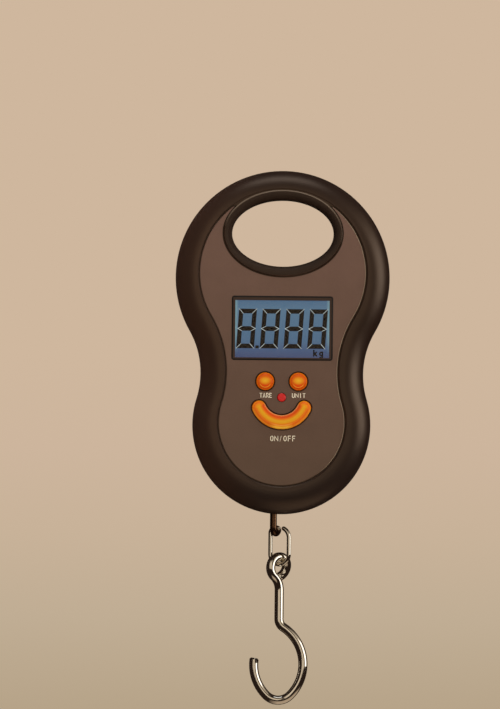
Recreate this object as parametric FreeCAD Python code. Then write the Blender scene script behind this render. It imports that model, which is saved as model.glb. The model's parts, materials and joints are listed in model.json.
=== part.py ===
import FreeCAD, Part
import math
import os

# A hand-held electronic hanging scale: two case halves round a load cell, a printed circuit
# board with a display and three buttons in front, two AAA cells behind, and a hook on a link.
# Millimetres. The origin is the centre of the finger hole, +X right, +Z up, the front faces -Y.

V = FreeCAD.Vector
up = V(0, 0, 1)
near = 0.05             # how close a point has to be to count as the same place
beyond = 5.0            # how far a cut runs out past the surface that it opens
os.makedirs("parts", exist_ok=True)

# ------------------------------------------------------------------ case
# Two round lobes joined by hollow flanks. The crest stands off the finger hole, the foot off the
# load cell's bar and the waist off the display, and the depth is what the pieces inside need.
top_band = 10.2         # case above the finger hole
top_lobe_r = 37.5
low_swell = 2.7         # low lobe radius past the waist's half width
foot_room = 6.9         # case below the load cell's bar
front_y = -13.0
wall = 2.0
corner_extra = 0.5      # thicker wall inside the rounded edges
front_round = 8.0
back_round = 9.0
parting_bevel = 0.25

# ------------------------------------------------------------------ finger hole and its raised ring
hole_half_x = 17.85
hole_half_z = 11.7
hole_round = 2.4
ring_side = 2.95        # the ring's width beside the hole
ring_band = 3.4         # the ring's width above and below the hole
ring_proud = 0.35
ring_bevel = 0.3
ring_groove = 1.4       # the shallow groove over the ring, where the face plate stops
collar_wall = 1.8

# ------------------------------------------------------------------ face plate and its recess
panel_crest_in = 6.8    # the plate's crest below the case's crest
panel_top_in = 8.5      # top lobe radius, case less plate
panel_low_in = 9.2      # low lobe radius and waist, case less plate
panel_low_rise = 1.0    # the plate's low lobe centre above the case's
panel_waist_side = 1.65  # plate left beside the display
panel_ring_gap = 0.4
panel_tip_z = 9.2       # the plate's two horns beside the ring end here
panel_tip_gap = 0.3
panel_bezel_gap = 0.05
panel_lamp_gap = 0.15
panel_t = 1.0
panel_sunk = 0.45
panel_gap = 0.45
panel_bevel = 0.2
lip_bevel = 0.35
floor_t = 1.55

# ------------------------------------------------------------------ display
display_z = -33.2
bezel_half_x = 17.65
bezel_half_z = 11.2
bezel_rim = 1.2
view_drop = 0.3         # the opening lies a little below the bezel's middle
bezel_corner = 0.9
bezel_round = 0.25
bezel_proud = 0.2
window_t = 0.8
window_lap = 0.5
window_gap = 0.08
window_bed = 0.02
glass_margin = 2.2
glass_t = 1.6
glass_gap = 0.1
glass_side_gap = 0.1
backlight_t = 2.0
backlight_in = 0.5
backlight_gap = 0.3
zebra_h = 2.0
zebra_in = 2.0
holder_wall = 1.4

# ------------------------------------------------------------------ buttons, lamp and switches
eye_spread = 5.8
eye_z = -51.8
eye_r = 3.15
lamp_z = -57.4
lamp_r = 1.5
smile_r = 8.66
smile_half_w = 2.5
smile_sweep = 131.0
button_proud = 1.4
button_round = 1.9
button_travel = 0.6
button_slot_gap = 0.12
panel_slot_gap = 0.42
flange_w = 0.9
flange_t = 0.8
flange_gap = 0.05
switch_half = 2.5
switch_gap = 0.1
plunger_r = 0.85
plunger_h = 0.9
plunger_gap = 0.08
lamp_proud = 0.35
lamp_round = 0.6
lamp_seat = 0.6         # the lamp's back behind the button flanges
lamp_flange = 0.4
lamp_flange_t = 1.0
lead_r = 0.25
lead_x = 0.7
lead_root = 0.2
lead_out = 0.3
lead_gap = 0.08

# ------------------------------------------------------------------ circuit board
board_t = 1.2
board_top_z = -19.5
board_low_z = -71.0
board_half_low = 17.5
board_step_z = -47.5
board_post_gap = 0.3    # screw post to display holder
board_cell_gap = 0.5    # board to the load cell's screw heads
chip_r = 4.5
chip_h = 0.9
chip_round = 0.63
chip_edge = 0.6
chip_rise = 2.0
small_half_x = 1.0
small_half_z = 0.6
small_h = 0.6
small_edge = 5.2
small_drop = 3.0
small_row_pitch = 3.0
small_pitch = 2.6
small_rows = 2
small_columns = 4

# ------------------------------------------------------------------ load cell
cell_t = 3.0
cell_top_z = -19.0
cell_head_h = 16.0
cell_half_x = 9.5
cell_slot = 1.3
cell_relief_r = 2.6
bar_half_x = 4.6
bar_h = 3.6
bar_t = 4.8
bar_gap = 1.8           # battery bay to bar
window_h = 4.4
window_half_x = 2.5
head_gap = 0.2
foot_rise = 16.0        # the plate's lower edge above the bay's lower end
stem_lap = 2.0
slot_top_in = 4.0
slot_low_in = 5.0
slot_land = 5.0         # plate left beside each slot
relief_half = 4.0
gauge_half_x = 1.4
gauge_half_z = 2.0
gauge_t = 0.12
gauge_off = 2.0

# ------------------------------------------------------------------ hanger, link and hook
hanger_x = -2.45
hanger_r = 1.2
hanger_drop = 4.6
hanger_fit = 0.08
exit_gap = 0.5
head_h = 1.8
bowl_open = 35.0        # the bowl stops this far short of a half turn
bowl_clear = 0.15
link_turn = 25.0
link_r = 0.75
link_half = 3.55
link_short_gap = 0.08
link_len = 12.95        # centre line, crest to foot
link_lap = 30.0
link_tip = 65.0
link_rest_gap = 0.05
hook_r = 1.6
hook_turn = 36.0
eye_ring_r = 3.8
eye_exit = 38.0
eye_tilt = 16.0
eye_wrap = 152.0
eye_play = 0.3
shank_len = 10.32
throat_r = 3.3
throat_sweep = 57.0
back_r = 15.5
back_sweep = 101.5
bowl_r = 5.9
bowl_sweep = 90.0
point_r = 15.0
point_sweep = 54.5
tip_bevel = 0.45

# ------------------------------------------------------------------ battery bay and door
cell_aaa_r = 5.25
cell_aaa_len = 44.5
can_round = 0.5
nub_r = 1.9
nub_h = 0.8
cell_gap = 0.3
bay_top_z = -35.0
bay_wall = 1.6
bay_floor_t = 0.7
bay_side_gap = 0.2
bay_cell_gap = 0.4      # load cell to battery bay
contact_t = 0.4
contact_half = 3.6
contact_play = 0.1
tab_half = 0.8
tab_proud = 1.6
tab_gap = 0.4
spring_h = 4.1
spring_r = 2.4
spring_wire_r = 0.25
spring_play = 0.03
spring_turns = 3.5
door_t = 1.8
door_lap = 0.85
door_gap = 0.15
trunnion_r = 0.5
trunnion_len = 1.2
trunnion_fit = 0.06
trunnion_end_gap = 0.15
catch_half = 3.0
catch_out = 0.35
catch_t = 0.5
catch_gap = 0.12
catch_root = 1.0
groove_r = 0.45
groove_half = 5.0
groove_first = 4.5
groove_pitch = 1.7
groove_count = 3
scoop_r = 12.0
scoop_deep = 0.9
scoop_rise = 2.6

# ------------------------------------------------------------------ screws
case_screw_r = 1.3
case_screw_head_r = 2.5
case_screw_head_h = 1.8
case_screw_len = 11.5
case_seat_in = 5.9      # screw seat behind the parting plane
boss_wall = 1.7
thread_fit = 0.05
screw_play = 0.15
tip_room = 0.5
well_gap = 0.35
top_boss_inset = 10.2
top_boss_angle = 7.0
low_boss_inset = 10.3
low_boss_angle = -25.0
cell_screw_r = 1.5
cell_screw_head_r = 2.7
cell_screw_head_h = 1.2
cell_screw_len = 9.0
cell_screw_x = 6.0
cell_screw_rise = 1.0
post_wall = 1.8
rib_t = 1.6
rib_lap = 0.4
root_lap = 0.5          # posts and bosses run this far into the wall
board_screw_r = 0.85
board_screw_head_r = 1.6
board_screw_head_h = 0.9
board_screw_len = 4.2
board_screw_inset = 2.4
board_post_wall = 1.3
board_tip_room = 0.3
head_round_share = 0.4  # of the head's height
cross_reach_share = 0.62  # of the head's radius
cross_w = 0.5
cross_deep = 0.6

# ------------------------------------------------------------------ small wiring
wire_r = 0.5
cable_bend = 1.3
cable_in = 3.0          # from the load cell's side
cable_start = 7.0       # below the load cell's middle
cable_under = 2.5       # below the board
cable_end = 3.0         # up the board's front
lead_bend = 0.9
lead_foot = 0.7         # above the bay's top wall
lead_rise = 2.5
lead_side = 4.0         # beside the load cell
lead_ahead = 2.0
lead_climb = 1.2
lead_end = 3.6

# ------------------------------------------------------------------ worked-out places
# Depth, front to back: face plate, floor, glass, light guide, board, load cell, cells, door.
panel_front_y = front_y + panel_sunk
panel_back_y = panel_front_y + panel_t
inner_front_y = panel_back_y + floor_t
ring_front_y = panel_front_y - ring_proud
glass_front_y = inner_front_y + glass_gap
glass_back_y = glass_front_y + glass_t
board_front_y = glass_back_y + backlight_t
board_back_y = board_front_y + board_t
cell_front_y = board_back_y + board_cell_gap + cell_screw_head_h
cell_back_y = cell_front_y + cell_t
parting_y = (cell_front_y + cell_back_y) / 2
bay_floor_y = cell_back_y + bay_cell_gap + bay_floor_t
aaa_y = bay_floor_y + contact_play + cell_aaa_r
door_in_y = aaa_y + cell_aaa_r + contact_play
back_y = door_in_y + door_t
inner_back_y = back_y - wall
case_seat_y = parting_y + case_seat_in

# Height, top to foot.
ring_half_x = hole_half_x + ring_side
ring_half_z = hole_half_z + ring_band
case_top_z = hole_half_z + top_band
top_lobe_z = case_top_z - top_lobe_r
bay_len = 2 * contact_t + spring_h + cell_aaa_len + contact_play
bay_low_z = bay_top_z - bay_len
bar_top_z = bay_low_z - bay_wall - bar_gap
bar_low_z = bar_top_z - bar_h
case_low_z = bar_low_z - foot_room
panel_waist_half = bezel_half_x + panel_waist_side
waist_half = panel_waist_half + panel_low_in
low_lobe_r = waist_half + low_swell
low_lobe_z = case_low_z + low_lobe_r
panel_top_r = top_lobe_r - panel_top_in
panel_top_z = case_top_z - panel_crest_in - panel_top_r
panel_low_r = low_lobe_r - panel_low_in
panel_low_z = low_lobe_z + panel_low_rise
cell_screw_z = cell_top_z - cell_head_h / 2 + cell_screw_rise

# Battery bay and door.
aaa_x = cell_aaa_r + cell_gap / 2
bay_half_x = aaa_x + cell_aaa_r + bay_side_gap
door_half_x = bay_half_x + door_lap
door_low_z = bay_low_z - door_lap
door_top_z = bay_top_z + door_lap
hinge_y = back_y - door_t / 2
hinge_z = door_low_z + door_t / 2

# Display opening, and the board that reaches past the display's holder.
view_x = bezel_half_x - bezel_rim
view_z = bezel_half_z - bezel_rim
view_mid_z = display_z - view_drop
glass_half_x = view_x + glass_margin
glass_half_z = view_z + glass_margin
holder_half_x = glass_half_x + glass_side_gap + holder_wall
holder_half_z = glass_half_z + glass_side_gap + holder_wall
board_post_r = board_screw_r + board_post_wall
board_half_top = holder_half_x + board_post_gap + board_post_r + board_screw_inset


# ------------------------------------------------------------------ shape helpers
def block(x0, x1, y0, y1, z0, z1):
    """A box between two corners."""
    return Part.makeBox(x1 - x0, y1 - y0, z1 - z0, V(x0, y0, z0))


def disc_y(r, x, z, y0, y1):
    """A cylinder along Y."""
    return Part.makeCylinder(r, y1 - y0, V(x, y0, z), V(0, 1, 0))


def bar_x(r, half, y, z):
    """A cylinder along X, reaching half to each side of the middle."""
    return Part.makeCylinder(r, 2 * half, V(-half, y, z), V(1, 0, 0))


def prism(edges, y0, y1):
    """A closed outline at y0, drawn out to y1."""
    face = Part.Face(Part.Wire(Part.__sortEdges__(edges)))
    return face.extrude(V(0, y1 - y0, 0))


def arc(a, b, c):
    """The arc from a through b to c."""
    return Part.Arc(a, b, c).toShape()


def flank(top_r, top_z, low_r, low_z, half):
    """Radius and height of the hollow flank arc that touches both lobes."""
    step = top_r - low_r
    drop = top_z - low_z
    base = (drop ** 2 + step * (top_r + low_r)) / (2 * drop)
    slope = step / drop
    a = slope ** 2
    b = 2 * base * slope - 2 * (top_r - half)
    c = base ** 2 - (top_r ** 2 - half ** 2)
    if a < 1e-9:
        radius = -c / b
    else:
        radius = (-b - math.sqrt(b * b - 4 * a * c)) / (2 * a)
    return radius, top_z - (base + slope * radius)


def lobed_edges(y, shape, inset=0.0):
    """Four tangent arcs: top lobe, right flank, low lobe and left flank, moved in by inset."""
    top_r, top_z, low_r, low_z, half = shape
    flank_r, flank_z = flank(top_r, top_z, low_r, low_z, half)
    flank_x = half + flank_r
    top_r, low_r, half = top_r - inset, low_r - inset, half - inset
    up = V(flank_x, 0, flank_z - top_z).normalize()
    down = V(flank_x, 0, flank_z - low_z).normalize()
    a = V(up.x * top_r, y, top_z + up.z * top_r)
    b = V(down.x * low_r, y, low_z + down.z * low_r)
    a_left, b_left = V(-a.x, y, a.z), V(-b.x, y, b.z)
    return [
        arc(a_left, V(0, y, top_z + top_r), a),
        arc(a, V(half, y, flank_z), b),
        arc(b, V(0, y, low_z - low_r), b_left),
        arc(b_left, V(-half, y, flank_z), a_left),
    ]


def lobed_prism(y0, y1, shape, inset=0.0):
    return prism(lobed_edges(y0, shape, inset), y0, y1)


def lobed_taper(y0, inset0, y1, inset1, shape):
    """A lobed plug whose outline narrows from y0 to y1."""
    wires = [Part.Wire(lobed_edges(y, shape, inset)) for y, inset in ((y0, inset0), (y1, inset1))]
    return Part.makeLoft(wires, True, True)


def oval_prism(half_x, half_z, y0, y1):
    """An elliptical prism about the origin's Y axis."""
    curve = Part.Ellipse(V(half_x, y0, 0), V(0, y0, half_z), V(0, y0, 0))
    return Part.Face(Part.Wire(curve.toShape())).extrude(V(0, y1 - y0, 0))


def rounded_block(half_x, half_z, corner, mid_z, y0, y1):
    """A plate in the XZ plane with round corners."""
    plate = block(-half_x, half_x, y0, y1, mid_z - half_z, mid_z + half_z)
    uprights = [e for e in plate.Edges if e.BoundBox.YLength > 1e-3]
    return plate.makeFillet(corner, uprights)


def edges_at(shape, y, half_x=None):
    """The edges lying at depth y; with half_x, only those that reach that far in X."""
    found = []
    for edge in shape.Edges:
        box = edge.BoundBox
        flat = abs(box.YMin - y) < 1e-4 and abs(box.YMax - y) < 1e-4
        if flat and (half_x is None or abs(box.XMax - half_x) < 1e-3):
            found.append(edge)
    return found


def tube(edges, r):
    """A round bar along a smooth chain of edges that starts straight down or across."""
    path = Part.Wire(edges)
    first = edges[0]
    start = first.valueAt(first.FirstParameter)
    heading = first.tangentAt(first.FirstParameter)
    ring = Part.Wire(Part.makeCircle(r, start, heading))
    return path.makePipeShell([ring], True, False)


def bent_path(points, bend):
    """Straight runs through the points, joined by tangent arcs of one radius."""
    edges = []
    here = points[0]
    for before, corner, after in zip(points, points[1:], points[2:]):
        come = (corner - before).normalize()
        go = (after - corner).normalize()
        turn = come.getAngle(go)
        cut = bend * math.tan(turn / 2)
        a = corner - come * cut
        b = corner + go * cut
        middle = (go - come).normalize()
        centre = corner + middle * (bend / math.cos(turn / 2))
        edges.append(Part.LineSegment(here, a).toShape())
        edges.append(arc(a, centre - middle * bend, b))
        here = b
    edges.append(Part.LineSegment(here, points[-1]).toShape())
    return edges


def screw(x, z, seat_y, toward, r, length, head_r, head_h):
    """A pan-head screw along Y. toward is +1 when it drives along +Y."""
    head_y = seat_y - toward * head_h
    y0, y1 = sorted((seat_y, head_y))
    body = disc_y(head_r, x, z, y0, y1)
    crown = edges_at(body, head_y)
    body = body.makeFillet(head_round_share * head_h, crown)
    s0, s1 = sorted((seat_y, seat_y + toward * length))
    body = body.fuse(disc_y(r, x, z, s0, s1))
    c0, c1 = sorted((head_y, head_y + toward * cross_deep))
    arm = cross_reach_share * head_r
    for half_x, half_z in ((arm, cross_w / 2), (cross_w / 2, arm)):
        body = body.cut(block(x - half_x, x + half_x, c0, c1, z - half_z, z + half_z))
    return body


def save(name, shape):
    """Write one piece, or one group of like pieces, as parts/NAME.step."""
    shape = shape.removeSplitter()
    good = shape.isValid() and len(shape.Solids) > 0
    print(f"{name:20s} solids {len(shape.Solids)} volume {shape.Volume:9.2f} {'ok' if good else 'BAD'}")
    shape.exportStep(f"parts/{name}.step")
    return shape


# ------------------------------------------------------------------ outlines shared by the pieces
case_shape = (top_lobe_r, top_lobe_z, low_lobe_r, low_lobe_z, waist_half)
panel_shape = (panel_top_r, panel_top_z, panel_low_r, panel_low_z, panel_waist_half)


def case_screw_places():
    """Two screws in the top lobe and two in the low lobe."""
    places = []
    for lobe_r, lobe_z, inset, angle in (
        (top_lobe_r, top_lobe_z, top_boss_inset, top_boss_angle),
        (low_lobe_r, low_lobe_z, low_boss_inset, low_boss_angle),
    ):
        reach = lobe_r - inset
        x = reach * math.cos(math.radians(angle))
        z = lobe_z + reach * math.sin(math.radians(angle))
        places += [(-x, z), (x, z)]
    return places


def board_screw_places():
    """Corners of the circuit board."""
    top = board_top_z - board_screw_inset
    low = board_low_z + board_screw_inset
    far = board_half_top - board_screw_inset
    near = board_half_low - board_screw_inset
    return [(-far, top), (far, top), (-near, low), (near, low)]


def smile_edges(y, grow=0.0):
    """Outline of the curved button: a thick arc about the lamp with round ends."""
    half = smile_half_w + grow
    end = math.radians(90 + smile_sweep / 2)
    start = math.radians(90 - smile_sweep / 2)

    def at(r, angle):
        return V(r * math.cos(angle), y, lamp_z - r * math.sin(angle))

    def cap(angle, side):
        mid = at(smile_r, angle)
        out = V(-math.sin(angle), 0, -math.cos(angle)) * (half * side)
        return arc(at(smile_r - half, angle), mid + out, at(smile_r + half, angle))

    middle = math.radians(90)
    return [
        arc(at(smile_r + half, start), at(smile_r + half, middle), at(smile_r + half, end)),
        arc(at(smile_r - half, start), at(smile_r - half, middle), at(smile_r - half, end)),
        cap(start, -1),
        cap(end, 1),
    ]


def smile_prism(y0, y1, grow=0.0):
    return prism(smile_edges(y0, grow), y0, y1)


def button_holes(y0, y1, gap):
    """The three button openings through a wall, with a gap all round."""
    cuts = [disc_y(eye_r + gap, side * eye_spread, eye_z, y0, y1) for side in (-1, 1)]
    return cuts + [smile_prism(y0, y1, gap)]


# ------------------------------------------------------------------ case halves
def solid_half(end_y, end_round):
    """Half of the case, unhollowed, between the parting plane and end_y."""
    y0, y1 = sorted((end_y, parting_y))
    outer = lobed_prism(y0, y1, case_shape)
    outer = outer.makeFillet(end_round, edges_at(outer, end_y))
    return outer.makeChamfer(parting_bevel, edges_at(outer, parting_y))


def hollow_half(outer, inner_y, end_round):
    """The same half hollowed out behind its wall, with the collar round the finger hole."""
    c0, c1 = sorted((inner_y, parting_y))
    cavity = lobed_prism(c0, c1, case_shape, wall)
    cavity = cavity.makeFillet(end_round - wall - corner_extra, edges_at(cavity, inner_y))
    collar = oval_prism(hole_half_x + collar_wall, hole_half_z + collar_wall, c0, c1)
    return outer.cut(cavity).fuse(collar)


def hanger_exit():
    """The round hole that lets the hanger out of the case without touching it."""
    top = case_low_z + 2 * wall
    return Part.makeCylinder(hanger_r + exit_gap, top - case_low_z + beyond,
                             V(hanger_x, parting_y, case_low_z - beyond), up)


def over_horns(z):
    """All that lies higher than z in front of the face plate's back."""
    return block(-top_lobe_r, top_lobe_r, front_y - beyond, panel_back_y, z, case_top_z)


def make_front_shell():
    shell = hollow_half(solid_half(front_y, front_round), inner_front_y, front_round)
    far = front_y - beyond
    recess = lobed_prism(far, panel_back_y, panel_shape, -panel_gap)
    lip = lobed_taper(front_y - lip_bevel, -panel_gap - 2 * lip_bevel,
                      front_y + lip_bevel, -panel_gap, panel_shape)
    ring = oval_prism(ring_half_x, ring_half_z, ring_front_y, panel_back_y)
    ring = ring.makeChamfer(ring_bevel, edges_at(ring, ring_front_y))
    shelf = oval_prism(ring_half_x + ring_groove, ring_half_z + ring_groove, panel_front_y, panel_back_y)
    ring = ring.fuse(shelf.common(over_horns(panel_tip_z + panel_tip_gap)))
    shell = shell.cut(recess.cut(ring)).cut(lip.cut(ring))
    shell = shell.cut(oval_prism(hole_half_x, hole_half_z, far, parting_y))
    shell = shell.makeFillet(hole_round, edges_at(shell, ring_front_y, hole_half_x))
    for x, z in case_screw_places():
        boss = disc_y(case_screw_r + boss_wall, x, z, inner_front_y, parting_y)
        shell = shell.fuse(boss)
    for x, z in board_screw_places():
        post = disc_y(board_post_r, x, z, inner_front_y, board_front_y)
        shell = shell.fuse(post)
    for x, z in case_screw_places():
        tip_y = case_seat_y - case_screw_len - tip_room
        shell = shell.cut(disc_y(case_screw_r + thread_fit, x, z, tip_y, parting_y))
    for x, z in board_screw_places():
        tip_y = board_back_y - board_screw_len - board_tip_room
        shell = shell.cut(disc_y(board_screw_r + thread_fit, x, z, tip_y, board_front_y))
    shell = shell.cut(block(-view_x, view_x, far, parting_y, view_mid_z - view_z, view_mid_z + view_z))
    for cut in button_holes(far, board_front_y, button_slot_gap):
        shell = shell.cut(cut)
    shell = shell.cut(disc_y(lamp_r + button_slot_gap, 0, lamp_z, far, board_front_y))
    return save("front_shell", shell.cut(hanger_exit()))


def bay_block(grow, y0, y1):
    return block(-bay_half_x - grow, bay_half_x + grow, y0, y1, bay_low_z - grow, bay_top_z + grow)


def tab_slots():
    """Slots in the bay's top wall for the two solder tabs."""
    half_x = tab_half + tab_gap
    half_y = contact_t / 2 + tab_gap
    return [block(x - half_x, x + half_x, aaa_y - half_y, aaa_y + half_y, bay_top_z, bay_top_z + bay_wall)
            for x in (-aaa_x, aaa_x)]


def thumb_scoop():
    """A ball that leaves a shallow dish in the case and the door, above the door's grooves."""
    return Part.makeSphere(scoop_r, V(0, back_y + scoop_r - scoop_deep, door_top_z + scoop_rise))


def make_rear_shell():
    outer = solid_half(back_y, back_round)
    shell = hollow_half(outer, inner_back_y, back_round)
    far = back_y + beyond
    root_y = inner_back_y + root_lap
    shell = shell.cut(oval_prism(hole_half_x, hole_half_z, parting_y, far))
    shell = shell.makeFillet(hole_round, edges_at(shell, back_y, hole_half_x))
    shell = shell.fuse(bay_block(bay_wall, bay_floor_y - bay_floor_t, door_in_y))
    post_r = cell_screw_r + post_wall
    for side in (-1, 1):
        x = side * cell_screw_x
        shell = shell.fuse(disc_y(post_r, x, cell_screw_z, cell_back_y, root_y))
        rib = block(x - rib_t / 2, x + rib_t / 2, cell_back_y, root_y, cell_screw_z + post_r - rib_lap,
                    -hole_half_z - rib_lap)
        shell = shell.fuse(rib)
    for x, z in case_screw_places():
        shell = shell.fuse(disc_y(case_screw_head_r + well_gap + boss_wall, x, z, parting_y, root_y))
    shell = shell.common(outer)
    shell = shell.cut(oval_prism(hole_half_x, hole_half_z, parting_y, inner_back_y - hole_round))
    shell = shell.cut(bay_block(0, bay_floor_y, far))
    shell = shell.cut(bay_block(door_lap + door_gap, door_in_y, far))
    for cut in tab_slots():
        shell = shell.cut(cut)
    for x, z in case_screw_places():
        shell = shell.cut(disc_y(case_screw_r + screw_play, x, z, parting_y, case_seat_y))
        shell = shell.cut(disc_y(case_screw_head_r + well_gap, x, z, case_seat_y, far))
    for side in (-1, 1):
        x = side * cell_screw_x
        tip_y = cell_front_y + cell_screw_len + tip_room
        shell = shell.cut(disc_y(cell_screw_r + thread_fit, x, cell_screw_z, cell_back_y, tip_y))
    reach = door_half_x + trunnion_len + trunnion_end_gap
    shell = shell.cut(bar_x(trunnion_r + trunnion_fit, reach, hinge_y, hinge_z))
    pocket_y = door_in_y + catch_gap
    shell = shell.cut(block(-catch_half - catch_gap, catch_half + catch_gap, pocket_y - catch_gap,
                            pocket_y + catch_t + catch_gap, door_top_z,
                            door_top_z + catch_out + catch_gap))
    return save("rear_shell", shell.cut(thumb_scoop()).cut(hanger_exit()))


def make_battery_door():
    door = block(-door_half_x, door_half_x, door_in_y, back_y, hinge_z, door_top_z)
    knuckle = bar_x(door_t / 2, door_half_x, hinge_y, hinge_z)
    pin = bar_x(trunnion_r, door_half_x + trunnion_len, hinge_y, hinge_z)
    catch_y = door_in_y + catch_gap
    catch = block(-catch_half, catch_half, catch_y, catch_y + catch_t, door_top_z - catch_root,
                  door_top_z + catch_out)
    door = door.fuse(knuckle).common(solid_half(back_y, back_round)).fuse(pin).fuse(catch)
    for index in range(groove_count):
        z = door_top_z - groove_first - index * groove_pitch
        door = door.cut(bar_x(groove_r, groove_half, back_y, z))
    return save("battery_door", door.cut(thumb_scoop()))


# ------------------------------------------------------------------ face plate and display
def make_front_panel():
    panel = lobed_prism(panel_front_y, panel_back_y, panel_shape)
    panel = panel.makeChamfer(panel_bevel, edges_at(panel, panel_front_y))
    far = panel_front_y - beyond
    panel = panel.cut(oval_prism(ring_half_x + panel_ring_gap, ring_half_z + panel_ring_gap, far,
                                 panel_back_y))
    panel = panel.cut(over_horns(panel_tip_z))
    panel = panel.cut(rounded_block(bezel_half_x + panel_bezel_gap, bezel_half_z + panel_bezel_gap,
                                    bezel_corner, display_z, far, panel_back_y))
    for cut in button_holes(far, panel_back_y, panel_slot_gap):
        panel = panel.cut(cut)
    return save("front_panel", panel.cut(disc_y(lamp_r + panel_lamp_gap, 0, lamp_z, far, panel_back_y)))


def make_display_bezel():
    front = panel_front_y - bezel_proud
    bezel = rounded_block(bezel_half_x, bezel_half_z, bezel_corner, display_z, front, panel_back_y)
    bezel = bezel.makeFillet(bezel_round, edges_at(bezel, front))
    bezel = bezel.cut(block(-view_x, view_x, front, panel_back_y, view_mid_z - view_z, view_mid_z + view_z))
    lap = window_lap + window_gap
    step_y = panel_back_y - window_t - window_bed
    bezel = bezel.cut(block(-view_x - lap, view_x + lap, step_y, panel_back_y,
                            view_mid_z - view_z - lap, view_mid_z + view_z + lap))
    save("display_bezel", bezel)
    half_x, half_z = view_x + window_lap, view_z + window_lap
    return save("display_window", block(-half_x, half_x, panel_back_y - window_t, panel_back_y,
                                        view_mid_z - half_z, view_mid_z + half_z))


def make_lcd():
    """A glass cell over a light guide, held in a frame, with a rubber contact strip at its foot."""
    def plate(half_x, y0, y1, low, high):
        return block(-half_x, half_x, y0, y1, low, high)

    low, high = display_z - glass_half_z, display_z + glass_half_z
    save("lcd_glass", plate(glass_half_x, glass_front_y, glass_back_y, low, high))
    light_low = low + zebra_h + backlight_gap
    save("lcd_backlight", plate(glass_half_x - backlight_in, glass_back_y, board_front_y, light_low, high))
    save("zebra_strip", plate(glass_half_x - zebra_in, glass_back_y, board_front_y, low, low + zebra_h))
    holder = plate(holder_half_x, glass_front_y, board_front_y, display_z - holder_half_z,
                   display_z + holder_half_z)
    gap = glass_side_gap
    return save("lcd_holder", holder.cut(plate(glass_half_x + gap, glass_front_y, board_front_y,
                                               low - gap, high + gap)))


# ------------------------------------------------------------------ buttons, switches and lamp
flange_front_y = inner_front_y + flange_gap
flange_back_y = flange_front_y + flange_t
button_top_y = panel_front_y - button_proud


def plunger(x, z):
    return disc_y(plunger_r, x, z, flange_back_y, flange_back_y + plunger_h)


def make_buttons():
    for name, side in (("tare", -1), ("unit", 1)):
        x = side * eye_spread
        cap = disc_y(eye_r, x, eye_z, button_top_y, flange_front_y)
        cap = cap.makeFillet(button_round, edges_at(cap, button_top_y))
        cap = cap.fuse(disc_y(eye_r + flange_w, x, eye_z, flange_front_y, flange_back_y))
        save(f"{name}_button", cap)
        save(f"{name}_plunger", plunger(x, eye_z))
    cap = smile_prism(button_top_y, flange_front_y)
    cap = cap.makeFillet(button_round, edges_at(cap, button_top_y))
    cap = cap.fuse(smile_prism(flange_front_y, flange_back_y, flange_w))
    save("power_button", cap)
    return save("power_plunger", plunger(0, lamp_z - smile_r))


def make_switch_housings():
    """Square switch bodies on the board, bored so that the plungers can sink into them."""
    bodies = []
    front = flange_back_y + button_travel + switch_gap
    sink = front + plunger_h
    for x, z in ((-eye_spread, eye_z), (eye_spread, eye_z), (0, lamp_z - smile_r)):
        body = block(x - switch_half, x + switch_half, front, board_front_y, z - switch_half, z + switch_half)
        bodies.append(body.cut(disc_y(plunger_r + plunger_gap, x, z, front, sink)))
    return save("switch_housings", Part.makeCompound(bodies))


def make_indicator_led():
    top = panel_front_y - lamp_proud
    foot = flange_back_y + lamp_seat
    body = disc_y(lamp_r, 0, lamp_z, top, foot)
    body = body.makeFillet(lamp_round, edges_at(body, top))
    body = body.fuse(disc_y(lamp_r + lamp_flange, 0, lamp_z, foot - lamp_flange_t, foot))
    for x in (-lead_x, lead_x):
        body = body.fuse(disc_y(lead_r, x, lamp_z, foot - lead_root, board_back_y + lead_out))
    return save("indicator_led", body)


# ------------------------------------------------------------------ circuit board
def make_board():
    board = block(-board_half_top, board_half_top, board_front_y, board_back_y, board_step_z, board_top_z)
    board = board.fuse(block(-board_half_low, board_half_low, board_front_y, board_back_y,
                             board_low_z, board_step_z))
    for x, z in board_screw_places():
        board = board.cut(disc_y(board_screw_r + screw_play, x, z, board_front_y, board_back_y))
    for x in (-lead_x, lead_x):
        board = board.cut(disc_y(lead_r + lead_gap, x, lamp_z, board_front_y, board_back_y))
    save("main_pcb", board)
    crown_y = board_back_y + chip_h
    chip_x = chip_r + chip_edge - board_half_low
    blob = disc_y(chip_r, chip_x, board_step_z + chip_rise, board_back_y, crown_y)
    save("controller_chip", blob.makeFillet(chip_round, edges_at(blob, crown_y)))
    bits = []
    for row in range(small_rows):
        x = board_half_low - small_edge + row * small_row_pitch
        for column in range(small_columns):
            z = board_step_z - small_drop - column * small_pitch
            bits.append(block(x - small_half_x, x + small_half_x, board_back_y, board_back_y + small_h,
                              z - small_half_z, z + small_half_z))
    save("pcb_components", Part.makeCompound(bits))
    screws = [screw(x, z, board_back_y, -1, board_screw_r, board_screw_len, board_screw_head_r,
                    board_screw_head_h) for x, z in board_screw_places()]
    return save("pcb_screws", Part.makeCompound(screws))


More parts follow.
